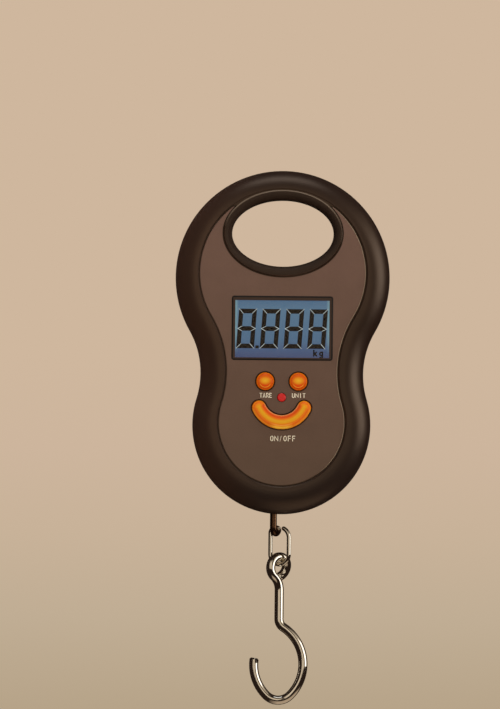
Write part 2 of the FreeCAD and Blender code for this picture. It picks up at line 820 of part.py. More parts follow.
# ------------------------------------------------------------------ load cell
def make_load_cell():
    """A plate with two opposed slots; the bar at its foot carries the hanger's head."""
    def through(x0, x1, z0, z1):
        return block(x0, x1, cell_front_y, cell_back_y, z0, z1)

    foot_z = bay_low_z + foot_rise
    plate = through(-cell_half_x, cell_half_x, foot_z, cell_top_z)
    stem_x0, stem_x1 = hanger_x - bar_half_x, hanger_x + bar_half_x
    plate = plate.fuse(through(stem_x0, stem_x1, bar_low_z, foot_z + stem_lap))
    plate = plate.fuse(block(stem_x0, stem_x1, parting_y - bar_t / 2, parting_y + bar_t / 2,
                             bar_low_z, bar_top_z))
    slot_top_z = cell_top_z - cell_head_h - slot_top_in
    slot_low_z = foot_z + slot_low_in
    middle = (slot_top_z + slot_low_z) / 2
    half_slot = cell_slot / 2
    plate = plate.cut(through(slot_land - cell_half_x, cell_half_x, slot_top_z - half_slot,
                              slot_top_z + half_slot))
    plate = plate.cut(through(-cell_half_x, cell_half_x - slot_land, slot_low_z - half_slot,
                              slot_low_z + half_slot))
    reliefs = (middle - relief_half, middle + relief_half)
    for z in reliefs:
        plate = plate.cut(disc_y(cell_relief_r, 0, z, cell_front_y, cell_back_y))
    plate = plate.cut(through(-half_slot, half_slot, *reliefs))
    for x in (-cell_screw_x, cell_screw_x):
        plate = plate.cut(disc_y(cell_screw_r + screw_play, x, cell_screw_z, cell_front_y, cell_back_y))
    plate = plate.cut(through(hanger_x - window_half_x, hanger_x + window_half_x, bar_top_z,
                              bar_top_z + window_h))
    plate = plate.cut(Part.makeCylinder(hanger_r + hanger_fit, bar_h, V(hanger_x, parting_y, bar_low_z), up))
    save("load_cell", plate)
    gauge_x = cell_relief_r + gauge_off
    gauges = [block(x - gauge_half_x, x + gauge_half_x, cell_front_y - gauge_t, cell_front_y,
                    z - gauge_half_z, z + gauge_half_z) for x in (-gauge_x, gauge_x) for z in reliefs]
    save("strain_gauges", Part.makeCompound(gauges))
    screws = [screw(x, cell_screw_z, cell_front_y, 1, cell_screw_r, cell_screw_len, cell_screw_head_r,
                    cell_screw_head_h) for x in (-cell_screw_x, cell_screw_x)]
    save("load_cell_screws", Part.makeCompound(screws))
    x = cell_half_x - cable_in
    cell_y = cell_front_y - wire_r
    board_y = board_front_y - wire_r
    under_z = board_low_z - cable_under
    path = [V(x, cell_y, middle - cable_start), V(x, cell_y, under_z), V(x, board_y, under_z),
            V(x, board_y, board_low_z + cable_end)]
    return save("gauge_cable", tube(bent_path(path, cable_bend), wire_r))


# ------------------------------------------------------------------ battery parts
def aaa(x, z0, up):
    """One AAA cell standing on z0, its nub up or down."""
    can_len = cell_aaa_len - nub_h
    can_z = z0 if up else z0 + nub_h
    can = Part.makeCylinder(cell_aaa_r, can_len, V(x, aaa_y, can_z), V(0, 0, 1))
    rims = [e for e in can.Edges if e.BoundBox.ZLength < 1e-4]
    can = can.makeFillet(can_round, rims)
    nub_z = can_z + can_len if up else z0
    return can.fuse(Part.makeCylinder(nub_r, nub_h, V(x, aaa_y, nub_z), V(0, 0, 1)))


def coil(x, z0):
    """A contact spring between z0 and z0 + spring_h."""
    height = spring_h - 2 * (spring_wire_r + spring_play)
    helix = Part.makeHelix(height / spring_turns, height, spring_r)
    ring = Part.Wire(Part.makeCircle(spring_wire_r, V(spring_r, 0, 0), V(0, 1, 0)))
    spring = Part.Wire(helix.Edges).makePipeShell([ring], True, True)
    spring.translate(V(x, aaa_y, z0 + spring_wire_r + spring_play))
    return spring


def make_batteries():
    low = bay_low_z + contact_t
    save("battery_left", aaa(-aaa_x, low + spring_h, True))
    save("battery_right", aaa(aaa_x, low + contact_play, False))
    top_spring_z = low + contact_play + cell_aaa_len
    save("battery_springs", Part.makeCompound([coil(-aaa_x, low), coil(aaa_x, top_spring_z)]))
    y0, y1 = aaa_y - contact_half, aaa_y + contact_half
    plates = [block(-aaa_x - contact_half, aaa_x + contact_half, y0, y1, bay_low_z, low)]
    for x in (-aaa_x, aaa_x):
        plate = block(x - contact_half, x + contact_half, y0, y1, bay_top_z - contact_t, bay_top_z)
        tab = block(x - tab_half, x + tab_half, aaa_y - contact_t / 2, aaa_y + contact_t / 2,
                    bay_top_z - contact_t, bay_top_z + bay_wall + tab_proud)
        plates.append(plate.fuse(tab))
    return save("battery_contacts", Part.makeCompound(plates))


def make_battery_wires():
    """Two wires from the solder tabs, round the load cell, to the back of the board."""
    wires = []
    tab_y = aaa_y - contact_t / 2 - wire_r
    board_y = board_back_y + wire_r
    foot_z = bay_top_z + bay_wall + lead_foot
    bend_z = foot_z + lead_rise
    top_z = bend_z + lead_climb
    for side in (-1, 1):
        tab_x = side * aaa_x
        clear_x = side * (cell_half_x + lead_side)
        path = [V(tab_x, tab_y, foot_z), V(tab_x, tab_y, bend_z), V(clear_x, tab_y - lead_ahead, top_z),
                V(clear_x, board_y, top_z), V(clear_x, board_y, top_z + lead_end)]
        wires.append(tube(bent_path(path, lead_bend), wire_r))
    return save("battery_wires", Part.makeCompound(wires))


def make_case_screws():
    screws = [screw(x, z, case_seat_y, -1, case_screw_r, case_screw_len, case_screw_head_r,
                    case_screw_head_h) for x, z in case_screw_places()]
    return save("case_screws", Part.makeCompound(screws))


# ------------------------------------------------------------------ hanger, link and hook
bowl_bend = hanger_r + link_r + bowl_clear
link_short_r = hanger_r + link_r + link_short_gap
bowl_z = case_low_z - hanger_drop
turn = math.radians(link_turn)
into_bowl = V(math.sin(turn), math.cos(turn), 0)
along_link = V(math.cos(turn), -math.sin(turn), 0)
link_hang = V(hanger_x, parting_y, bowl_z) + into_bowl * bowl_bend - up * (bowl_clear - link_rest_gap)
short_mid = link_hang - up * link_short_r
link_mid = short_mid + along_link * (link_half - link_short_r)
link_low_z = link_hang.z - link_len
eye_mid = V(link_mid.x, link_mid.y, link_low_z + hook_r + link_r + eye_play - eye_ring_r)


def round_end(centre, r):
    return Part.makeSphere(r, centre)


def make_load_hanger():
    """A headed steel rod whose lower end is bent up into an open bowl."""
    top = V(hanger_x, parting_y, bar_top_z)
    foot = V(hanger_x, parting_y, bowl_z)

    def bowl(angle):
        a = math.radians(angle)
        return foot + into_bowl * (bowl_bend * (1 - math.cos(a))) - up * (bowl_bend * math.sin(a))

    sweep = 180 - bowl_open
    lip = bowl(sweep)
    path = [Part.LineSegment(top, foot).toShape(), arc(foot, bowl(sweep / 2), lip)]
    rod = tube(path, hanger_r).fuse(round_end(lip, hanger_r))
    head_x = window_half_x - head_gap
    head = block(hanger_x - head_x, hanger_x + head_x, cell_front_y, cell_back_y, bar_top_z,
                 bar_top_z + head_h)
    return save("load_hanger", rod.fuse(head))


def make_chain_link():
    """An open oval: its short arc hangs in the hanger's bowl, its long arc ends in a free tip."""
    def at(mid, r, angle):
        a = math.radians(angle)
        return mid + along_link * (r * math.cos(a)) + up * (r * math.sin(a))

    long_mid = V(link_mid.x, link_mid.y, link_hang.z - link_half)
    low_mid = V(link_mid.x, link_mid.y, link_low_z + link_half)
    end = 90 - link_lap
    path = [
        arc(at(short_mid, link_short_r, end), at(short_mid, link_short_r, (end + 180) / 2),
            at(short_mid, link_short_r, 180)),
        Part.LineSegment(at(short_mid, link_short_r, 180), at(low_mid, link_half, 180)).toShape(),
        arc(at(low_mid, link_half, 180), at(low_mid, link_half, 270), at(low_mid, link_half, 360)),
        Part.LineSegment(at(low_mid, link_half, 0), at(long_mid, link_half, 0)).toShape(),
        arc(at(long_mid, link_half, 0), at(long_mid, link_half, link_tip / 2),
            at(long_mid, link_half, link_tip)),
    ]
    link = tube(path, link_r)
    link = link.fuse(round_end(at(short_mid, link_short_r, end), link_r))
    link = link.fuse(round_end(at(long_mid, link_half, link_tip), link_r))
    return save("chain_link", link)


def eye_edges(across):
    """The eye's front half from its top, round the left and down into the shank, and its tail.

    across is the eye's own left-to-right direction. The tail half leans back about the top, so
    that the wire's end lies behind the neck."""
    exit_angle = math.radians(eye_exit)
    away = across.cross(up) * -1
    neck_r = eye_ring_r * math.sin(exit_angle) / (1 - math.sin(exit_angle))

    def ring(angle):
        a = math.radians(angle)
        return eye_mid + across * (eye_ring_r * math.cos(a)) + up * (eye_ring_r * math.sin(a))

    leave = ring(270 - eye_exit)
    neck_low = V(eye_mid.x, eye_mid.y, leave.z - neck_r * math.cos(exit_angle))
    neck_mid = neck_low - across * neck_r
    half_turn = (math.pi / 2 - exit_angle) / 2
    mid_way = neck_mid + across * (neck_r * math.cos(half_turn)) + up * (neck_r * math.sin(half_turn))
    front = [arc(ring(90), ring((360 - eye_exit) / 2), leave), arc(leave, mid_way, neck_low)]
    lean = math.radians(eye_tilt)
    down = up * -math.cos(lean) + away * math.sin(lean)

    def tail(angle):
        a = math.radians(angle)
        return ring(90) + across * (eye_ring_r * math.sin(a)) + down * (eye_ring_r * (1 - math.cos(a)))

    back = arc(ring(90), tail(eye_wrap / 2), tail(eye_wrap))
    return front, back, neck_low


def make_load_hook():
    yaw = math.radians(hook_turn)
    across = V(math.cos(yaw), math.sin(yaw), 0)
    front, back, neck_low = eye_edges(across)
    here = neck_low - up * shank_len
    path = front + [Part.LineSegment(neck_low, here).toShape()]
    heading = math.radians(-90)
    for r, sweep, side in ((throat_r, throat_sweep, 1), (back_r, back_sweep, -1),
                           (bowl_r, bowl_sweep, -1), (point_r, point_sweep, -1)):
        left = V(-math.sin(heading), 0, math.cos(heading)) * side
        centre = here + left * r
        points = []
        for share in (0.5, 1.0):
            angle = heading + side * math.radians(sweep) * share
            left_there = V(-math.sin(angle), 0, math.cos(angle)) * side
            points.append(centre - left_there * r)
        path.append(arc(here, points[0], points[1]))
        here = points[1]
        heading += side * math.radians(sweep)
    wire = tube(path, hook_r)
    tail = tube([back], hook_r)
    tip_edges = [e for e in wire.Edges if e.BoundBox.Center.distanceToPoint(here) < near]
    wire = wire.makeChamfer(tip_bevel, tip_edges)
    tail_end = round_end(back.valueAt(back.LastParameter), hook_r)
    return save("load_hook", wire.fuse(tail).fuse(tail_end))


make_front_shell()
make_rear_shell()
make_battery_door()
make_front_panel()
make_display_bezel()
make_lcd()
make_buttons()
make_switch_housings()
make_indicator_led()
make_board()
make_load_cell()
make_batteries()
make_battery_wires()
make_case_screws()
make_load_hanger()
make_chain_link()
make_load_hook()
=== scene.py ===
"""Looks of a hand-held electronic hanging scale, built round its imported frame.

Metres, in the frame's own axes: +X right, +Z up, the display faces -Y, and the origin is the
centre of the finger hole. A pair of numbers named for a place is the span over which a colour
or a gloss fades from one value to the next."""

import json
import math

import bmesh
import bpy
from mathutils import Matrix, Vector


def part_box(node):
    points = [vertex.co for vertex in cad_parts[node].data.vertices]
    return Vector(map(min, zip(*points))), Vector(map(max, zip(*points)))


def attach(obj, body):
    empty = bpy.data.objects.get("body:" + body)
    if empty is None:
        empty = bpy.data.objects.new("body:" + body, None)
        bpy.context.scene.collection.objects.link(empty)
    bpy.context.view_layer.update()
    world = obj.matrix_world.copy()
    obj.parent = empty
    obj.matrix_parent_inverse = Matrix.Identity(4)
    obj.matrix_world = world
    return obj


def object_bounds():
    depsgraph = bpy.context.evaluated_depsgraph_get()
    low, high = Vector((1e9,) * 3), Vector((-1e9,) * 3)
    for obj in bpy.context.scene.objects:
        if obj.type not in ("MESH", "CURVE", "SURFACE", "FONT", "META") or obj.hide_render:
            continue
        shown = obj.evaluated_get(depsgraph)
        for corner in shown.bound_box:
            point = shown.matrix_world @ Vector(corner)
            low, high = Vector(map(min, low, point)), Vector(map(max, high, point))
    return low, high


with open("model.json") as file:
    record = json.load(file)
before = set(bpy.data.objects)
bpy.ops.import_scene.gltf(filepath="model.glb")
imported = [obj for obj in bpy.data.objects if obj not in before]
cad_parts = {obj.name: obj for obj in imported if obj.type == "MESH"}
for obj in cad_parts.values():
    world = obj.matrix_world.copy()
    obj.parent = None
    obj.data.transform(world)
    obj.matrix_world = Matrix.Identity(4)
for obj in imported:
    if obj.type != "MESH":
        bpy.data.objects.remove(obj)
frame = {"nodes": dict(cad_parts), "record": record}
cad_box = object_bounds()

MM = 0.001
WHITE = (1.0, 1.0, 1.0, 1.0)
BLACK = (0.0, 0.0, 0.0, 1.0)


# ------------------------------------------------------------------ places, from the frame
def middle(node):
    low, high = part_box(node)
    return (low + high) / 2


def half_size(node):
    low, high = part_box(node)
    return (high - low) / 2


PANEL_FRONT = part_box("front_panel")[0].y
PANEL_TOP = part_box("front_panel")[1].z
PANEL_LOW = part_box("front_panel")[0].z
GLASS_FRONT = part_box("lcd_glass")[0].y
DISPLAY = middle("lcd_glass")
BEZEL_HALF = half_size("display_bezel")
DISPLAY_HALF = half_size("display_window")
TARE = middle("tare_button")
UNIT = middle("unit_button")
LAMP = middle("indicator_led")
CURVE_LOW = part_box("power_button")[0].z
BATTERY = middle("battery_left")
BATTERY_HALF = half_size("battery_left")


# ------------------------------------------------------------------ shader building
def srgb(red, green, blue):
    """A colour given as 0-255 screen values, as the linear RGBA that sockets take."""
    def linear(value):
        share = value / 255
        return share / 12.92 if share <= 0.04045 else ((share + 0.055) / 1.055) ** 2.4

    return (linear(red), linear(green), linear(blue), 1.0)


class Tree:
    """Short ways to add and join the nodes of one shader tree."""

    def __init__(self, tree):
        self.nodes = tree.nodes
        self.links = tree.links

    def add(self, kind, **settings):
        node = self.nodes.new(kind)
        for key, value in settings.items():
            setattr(node, key, value)
        return node

    def feed(self, socket, value):
        """Join an output to the socket, or set the socket to a plain value."""
        if isinstance(value, bpy.types.NodeSocket):
            self.links.new(value, socket)
        else:
            socket.default_value = value

    def math(self, operation, *values, clamp=False):
        node = self.add("ShaderNodeMath", operation=operation, use_clamp=clamp)
        for socket, value in zip(node.inputs, values):
            self.feed(socket, value)
        return node.outputs[0]

    def product(self, first, *others):
        for other in others:
            first = self.math("MULTIPLY", first, other)
        return first

    def length(self, first, second):
        """The length of the vector with these two parts."""
        squares = [self.math("POWER", part, 2.0) for part in (first, second)]
        return self.math("SQRT", self.math("ADD", *squares))

    def away(self, value, centre):
        """How far value is from centre, to either side."""
        return self.math("ABSOLUTE", self.math("SUBTRACT", value, centre))

    def stripes(self, value, per_metre, share):
        """1 on stripes across value, each as wide as that share of their pitch, and 0 between."""
        phase = self.math("FRACT", self.math("MULTIPLY", value, per_metre))
        return self.math("LESS_THAN", phase, share)

    def parts(self, vector):
        """The X, Y and Z of a vector output."""
        split = self.add("ShaderNodeSeparateXYZ")
        self.links.new(vector, split.inputs[0])
        return split.outputs[0], split.outputs[1], split.outputs[2]

    def place(self):
        """The point's own X, Y and Z on its piece, in metres."""
        return self.parts(self.add("ShaderNodeTexCoord").outputs["Object"])

    def facing_right(self, low, high):
        """1 where the surface faces along +X more than high, 0 where less than low."""
        across, _, _ = self.parts(self.add("ShaderNodeNewGeometry").outputs["Normal"])
        return self.span(across, low, high)

    def noise(self, scale, detail=2.0):
        """Noise from 0 to 1 with about scale features to the metre."""
        noise = self.add("ShaderNodeTexNoise")
        noise.inputs["Scale"].default_value = scale
        noise.inputs["Detail"].default_value = detail
        coords = self.add("ShaderNodeTexCoord")
        self.links.new(coords.outputs["Object"], noise.inputs["Vector"])
        return noise.outputs["Fac"]

    def span(self, value, low, high, to_low=0.0, to_high=1.0):
        """value, carried from low..high to to_low..to_high and held there beyond."""
        node = self.add("ShaderNodeMapRange", clamp=True)
        for socket, item in zip(node.inputs, (value, low, high, to_low, to_high)):
            self.feed(socket, item)
        return node.outputs[0]

    def blend(self, share, first, second, kind="MIX"):
        node = self.add("ShaderNodeMix", data_type="RGBA", blend_type=kind)
        self.feed(node.inputs[0], share)
        self.feed(node.inputs[6], first)
        self.feed(node.inputs[7], second)
        return node.outputs[2]

    def shaded(self, colour, brightness):
        """The colour with each of its channels multiplied by brightness."""
        grey = self.add("ShaderNodeCombineColor")
        for socket in grey.inputs:
            self.links.new(brightness, socket)
        return self.blend(1.0, colour, grey.outputs[0], kind="MULTIPLY")

    def ramp(self, value, stops):
        node = self.add("ShaderNodeValToRGB")
        points = node.color_ramp.elements
        while len(points) < len(stops):
            points.new(0.5)
        for point, (position, colour) in zip(points, stops):
            point.position = position
            point.color = colour
        self.feed(node.inputs[0], value)
        return node.outputs[0]

    def bump(self, height, depth):
        node = self.add("ShaderNodeBump")
        node.inputs["Strength"].default_value = 1.0
        node.inputs["Distance"].default_value = depth
        self.links.new(height, node.inputs["Height"])
        return node.outputs[0]

    def background(self, colour, strength=1.0):
        node = self.add("ShaderNodeBackground")
        self.feed(node.inputs["Color"], colour)
        node.inputs["Strength"].default_value = strength
        return node.outputs[0]

    def mix_shaders(self, share, first, second):
        node = self.add("ShaderNodeMixShader")
        for socket, source in zip(node.inputs, (share, first, second)):
            self.links.new(source, socket)
        return node.outputs[0]


def new_material(name):
    """An empty material, its shader tree and its shader."""
    material = bpy.data.materials.new(name)
    material.use_nodes = True
    return material, Tree(material.node_tree), material.node_tree.nodes["Principled BSDF"]


# The values between which most of a noise lies, and a narrower and a wider pair.
NOISE_MOST = (0.3, 0.7)
NOISE_CORE = (0.35, 0.65)
NOISE_WIDE = (0.25, 0.75)
CLOUD_SCALE = 140.0


def surface(name, colour, roughness, mottle=0.08, grain=3000.0, depth=0.01 * MM, uneven=0.06,
            dull=None, **sockets):
    """A solid material: its colour and gloss wander a little, and a fine grain stands proud.

    colour is an RGBA value, or a function that makes a colour in the tree. sockets are plain
    values for the shader's own inputs, and dull makes a share of extra roughness in the tree."""
    material, tree, shader = new_material(name)
    base = colour(tree) if callable(colour) else colour
    cloud = tree.noise(CLOUD_SCALE, detail=4.0)
    shade = tree.span(cloud, *NOISE_MOST, 1.0 - mottle, 1.0 + mottle)
    tree.feed(shader.inputs["Base Color"], tree.shaded(base, shade))
    fine = tree.noise(grain)
    gloss = tree.span(fine, *NOISE_WIDE, max(roughness - uneven, 0.01), roughness + uneven)
    if dull:
        gloss = tree.math("ADD", gloss, dull(tree), clamp=True)
    tree.feed(shader.inputs["Roughness"], gloss)
    if depth:
        tree.feed(shader.inputs["Normal"], tree.bump(fine, depth))
    for socket, value in sockets.items():
        shader.inputs[socket.replace("_", " ")].default_value = value
    return material


# ------------------------------------------------------------------ case
CASE_SIDE = srgb(37, 22, 15)
CASE_FOOT = srgb(36, 26, 23)
# A lighter brown painted on the case's left side as painted light.
CASE_LEFT_PAINTED_LIGHT = srgb(52, 31, 21)
# A pale line painted along the ring's upper rim as a painted highlight, and how much of it shows.
RIM_PAINTED_HIGHLIGHT = srgb(122, 106, 90)
RIM_PAINTED_HIGHLIGHT_SHARE = 0.9
FOOT_HEIGHT = (-92 * MM, -62 * MM)
BROWN_ACROSS = (-8 * MM, -26 * MM)
BROWN_REACH = (1.05, 1.4)
RING_HALF_X = 20.8 * MM
RING_HALF_Z = 15.1 * MM
# Reaches, as ring_reach() gives them.
HIGHLIGHT_INNER = (0.945, 0.965)
HIGHLIGHT_OUTER = (1.015, 0.995)
RING_ENDS = (0.95, 0.963)
RIM_ENDS = (1.0, 1.02)
RIM_HEIGHT = (2 * MM, 9 * MM)
RIM_DEPTH = 0.2 * MM
RING_DULL = 0.43
RIM_POLISH = -0.18
LIP_DULL = 0.4
LIP_FACING = (0.3, 0.5)
LIP_ACROSS = (-5 * MM, -9 * MM)


def ring_reach(tree):
    """How far out from the finger hole's centre, squared: 1 on the raised ring's outline."""
    across, _, height = tree.place()
    wide = tree.math("POWER", tree.math("DIVIDE", across, RING_HALF_X), 2.0)
    tall = tree.math("POWER", tree.math("DIVIDE", height, RING_HALF_Z), 2.0)
    return tree.math("ADD", wide, tall)


def case_colour(tree):
    """Black plastic, browner above its foot, with painted light making its left side a lighter
    brown and a painted highlight along the ring's upper rim.
    """
    across, along, height = tree.place()
    base = tree.blend(tree.span(height, *FOOT_HEIGHT), CASE_FOOT, CASE_SIDE)
    reach = ring_reach(tree)
    # Painted light: on the left, outside the finger hole's ring, the case is blended to a lighter
    # brown.
    brown = tree.product(tree.span(across, *BROWN_ACROSS), tree.span(reach, *BROWN_REACH))
    base = tree.blend(brown, base, CASE_LEFT_PAINTED_LIGHT)
    # Painted highlight: a pale line on the front of the ring's upper rim, near its outline.
    rim = tree.product(tree.span(reach, *HIGHLIGHT_INNER), tree.span(reach, *HIGHLIGHT_OUTER),
                       tree.span(height, *RIM_HEIGHT, 0.0, RIM_PAINTED_HIGHLIGHT_SHARE),
                       tree.span(along, PANEL_FRONT + RIM_DEPTH, PANEL_FRONT))
    return tree.blend(rim, base, RIM_PAINTED_HIGHLIGHT)


def case_dullness(tree):
    """Extra roughness: more on the finger hole's ring and the left-hand lip, less on the rim."""
    reach = ring_reach(tree)
    ring = tree.math("ADD", tree.span(reach, *RING_ENDS, RING_DULL, 0.0),
                     tree.span(reach, *RIM_ENDS, RIM_POLISH, 0.0))
    across, _, _ = tree.place()
    lip = tree.product(tree.facing_right(*LIP_FACING),
                       tree.span(across, *LIP_ACROSS, 0.0, LIP_DULL))
    return tree.math("ADD", ring, lip)


# ------------------------------------------------------------------ face plate and bezel
PANEL_HIGH = srgb(116, 89, 77)
PANEL_FOOT = srgb(94, 75, 61)
PANEL_FLECK = srgb(70, 54, 45)
# A pale colour painted on the right-facing bevel as a painted highlight.
PANEL_PAINTED_HIGHLIGHT = srgb(172, 150, 126)
FLECK_SCALE = 5200.0
FLECK_SHARE = 0.16
BEVEL_FACING = (0.4, 0.55)
BEVEL_ACROSS = (8 * MM, 12 * MM)
BEZEL_FACE = srgb(60, 40, 27)
BEZEL_EDGE = srgb(16, 10, 8)
BEZEL_EDGE_IN = (-0.55 * MM, -0.4 * MM)


def panel_colour(tree):
    """The face plate, a little redder and lighter at its top, with a very fine fleck.

    A painted highlight makes the bevel along its right-hand edge pale where it faces right."""
    across, _, height = tree.place()
    base = tree.blend(tree.span(height, PANEL_LOW, PANEL_TOP), PANEL_FOOT, PANEL_HIGH)
    fleck = tree.span(tree.noise(FLECK_SCALE, detail=1.0), *NOISE_CORE, 0.0, FLECK_SHARE)
    base = tree.blend(fleck, base, PANEL_FLECK)
    # Painted highlight on the bevel that faces right, on the plate's right-hand side.
    bevel_highlight = tree.product(tree.facing_right(*BEVEL_FACING), tree.span(across, *BEVEL_ACROSS))
    return tree.blend(bevel_highlight, base, PANEL_PAINTED_HIGHLIGHT)


def bezel_colour(tree):
    """The display's frame, black along its outer edge and dark brown inside it."""
    across, _, height = tree.place()
    side = tree.math("SUBTRACT", tree.math("ABSOLUTE", across), BEZEL_HALF.x)
    rise = tree.math("SUBTRACT", tree.away(height, DISPLAY.z), BEZEL_HALF.z)
    edge = tree.span(tree.math("MAXIMUM", side, rise), *BEZEL_EDGE_IN)
    return tree.blend(edge, BEZEL_FACE, BEZEL_EDGE)


# ------------------------------------------------------------------ display
DISPLAY_TONES = (
    (0.0, srgb(62, 78, 118)), (0.12, srgb(62, 88, 128)), (0.3, srgb(72, 110, 143)),
    (0.8, srgb(82, 120, 149)), (0.93, srgb(76, 114, 145)), (1.0, srgb(66, 102, 142)))
# A pale cyan painted at both ends of the display as a painted glow.
DISPLAY_PAINTED_GLOW = srgb(138, 178, 184)
ENDS_REACH = (15.4 * MM, 16.5 * MM)
ENDS_RISE = (0.05, 0.4)
ENDS_SHARE = 0.8
DISPLAY_GRAIN = 2400.0
DISPLAY_GRAIN_SHADE = (0.94, 1.04)
DISPLAY_ROUGHNESS = 0.3
DISPLAY_GLOW = 0.76
DISPLAY_BLACKENED = 0.75
WINDOW_IOR = 1.46
SMEAR_SCALE = 300.0
SMEAR_SPAN = (0.4, 0.7)
SMEAR_ROUGHNESS = 0.03


def display_colour(tree):
    """The lit display: pale blue and violet along its foot, with a painted glow of pale cyan at its
    ends.
    """
    across, _, height = tree.place()
    rise = tree.span(height, DISPLAY.z - DISPLAY_HALF.z, DISPLAY.z + DISPLAY_HALF.z)
    base = tree.ramp(rise, DISPLAY_TONES)
    # Painted glow: towards both ends, above the foot, the display is blended to pale cyan.
    ends = tree.product(tree.span(tree.away(across, DISPLAY.x), *ENDS_REACH, 0.0, ENDS_SHARE),
                        tree.span(rise, *ENDS_RISE))
    return tree.blend(ends, base, DISPLAY_PAINTED_GLOW)


def display_material():
    """The display lights itself, so that it keeps its colours in any light."""
    material, tree, shader = new_material("lcd_face")
    fine = tree.noise(DISPLAY_GRAIN, detail=1.0)
    grain = tree.span(fine, *NOISE_MOST, *DISPLAY_GRAIN_SHADE)
    colour = tree.shaded(display_colour(tree), grain)
    tree.feed(shader.inputs["Base Color"], tree.blend(DISPLAY_BLACKENED, colour, BLACK))
    tree.feed(shader.inputs["Emission Color"], colour)
    shader.inputs["Emission Strength"].default_value = DISPLAY_GLOW
    shader.inputs["Roughness"].default_value = DISPLAY_ROUGHNESS
    return material


def window_material():
    """A clear pane with the faintest smear in its gloss."""
    material, tree, shader = new_material("window_clear")
    shader.inputs["Base Color"].default_value = WHITE
    shader.inputs["Transmission Weight"].default_value = 1.0
    shader.inputs["IOR"].default_value = WINDOW_IOR
    smear = tree.span(tree.noise(SMEAR_SCALE, detail=4.0), *SMEAR_SPAN, 0.0, SMEAR_ROUGHNESS)
    tree.feed(shader.inputs["Roughness"], smear)
    return material


# ------------------------------------------------------------------ round buttons
# Painted shading of the domed caps, from the heart out: a yellow heart of painted light, set a
# little high, fading to orange.
CAP_HEART = (
    (0.0, srgb(234, 180, 42)), (0.3, srgb(232, 154, 28)), (0.6, srgb(218, 98, 6)),
    (1.0, srgb(212, 80, 4)))
CAP_HEART_LIFT = 0.3 * MM
CAP_HEART_SQUASH = 1.5
CAP_HEART_R = 3.6 * MM
# The caps' rim tones, with a brighter ring painted near the edge as a painted highlight.
CAP_RIM = (
    (0.0, srgb(214, 84, 4)), (0.35, srgb(208, 70, 4)), (0.65, srgb(238, 124, 14)),
    (1.0, srgb(190, 66, 10)))
CAP_RIM_RADII = (2.3 * MM, 3.2 * MM)
CAP_RIM_FADE = (2.2 * MM, 2.6 * MM)
CRESCENT_LIFT = (-0.9 * MM, -1.3 * MM)
CRESCENT_CORE = 0.4
CRESCENT_SHARE = 0.85
# Each painted crescent's radius, half its width, and its colour: first a red crescent of painted
# shade, then a bright line of painted highlight.
PAINTED_CRESCENTS = (
    (1.6 * MM, 0.3 * MM, srgb(226, 62, 10)),
    (2.05 * MM, 0.16 * MM, srgb(248, 172, 52)),
)


def cap_colour(tree):
    """Orange caps with painted shading: a yellow heart of painted light set a little high, a red
    crescent of painted shade low down with a bright painted highlight line under it, and a brighter
    painted ring near the rim.
    """
    across, _, height = tree.place()
    side = tree.math("SUBTRACT", tree.math("ABSOLUTE", across), UNIT.x)
    lift = tree.math("SUBTRACT", height, UNIT.z)
    out = tree.length(side, lift)
    high = tree.math("MULTIPLY", tree.math("SUBTRACT", lift, CAP_HEART_LIFT), CAP_HEART_SQUASH)
    base = tree.ramp(tree.span(tree.length(side, high), 0.0, CAP_HEART_R), CAP_HEART)
    rim = tree.ramp(tree.span(out, *CAP_RIM_RADII), CAP_RIM)
    base = tree.blend(tree.span(out, *CAP_RIM_FADE), base, rim)
    low = tree.span(lift, *CRESCENT_LIFT)
    for radius, half, colour in PAINTED_CRESCENTS:
        line = tree.span(tree.away(out, radius), half, CRESCENT_CORE * half)
        share = tree.product(line, low, CRESCENT_SHARE)
        base = tree.blend(share, base, colour)
    return base


# ------------------------------------------------------------------ curved button
CURVE_R = 8.66 * MM
CURVE_HALF = 2.5 * MM
CURVE_END = math.radians(24.5)
# Bands of painted shading and painted highlights, from the inner edge to the outer one.
CURVE_BANDS = (
    (0.0, srgb(160, 54, 14)), (0.045, srgb(240, 162, 96)), (0.09, srgb(228, 90, 22)),
    (0.18, srgb(214, 72, 6)), (0.3, srgb(230, 116, 14)), (0.42, srgb(228, 166, 28)),
    (0.56, srgb(228, 158, 26)), (0.67, srgb(234, 122, 14)), (0.72, srgb(242, 168, 80)),
    (0.77, srgb(246, 148, 24)), (0.88, srgb(255, 206, 70)), (0.97, srgb(255, 190, 60)),
    (1.0, srgb(250, 130, 30)))
# The outer half of the painted bands, away from the middle of the button.
CURVE_SIDES = (
    (0.6, srgb(230, 148, 24)), (0.7, srgb(228, 108, 12)), (0.8, srgb(222, 84, 8)),
    (0.9, srgb(236, 108, 16)), (0.95, srgb(255, 160, 40)), (1.0, srgb(226, 96, 20)))
CURVE_SIDES_OUT = (0.2 * MM, 0.7 * MM)
CURVE_SIDES_ACROSS = (2.0 * MM, 4.2 * MM)
CURVE_SIDES_SHARE = 0.8
# Painted shading and a painted bright ring round each end, from an end's centre to the outline
# round it.
CURVE_ENDS = (
    (0.0, srgb(230, 174, 36)), (0.45, srgb(234, 140, 20)), (0.75, srgb(230, 98, 12)),
    (0.9, srgb(246, 150, 30)), (1.0, srgb(186, 66, 14)))
CURVE_ENDS_PAST = (0.0, 0.8 * MM)


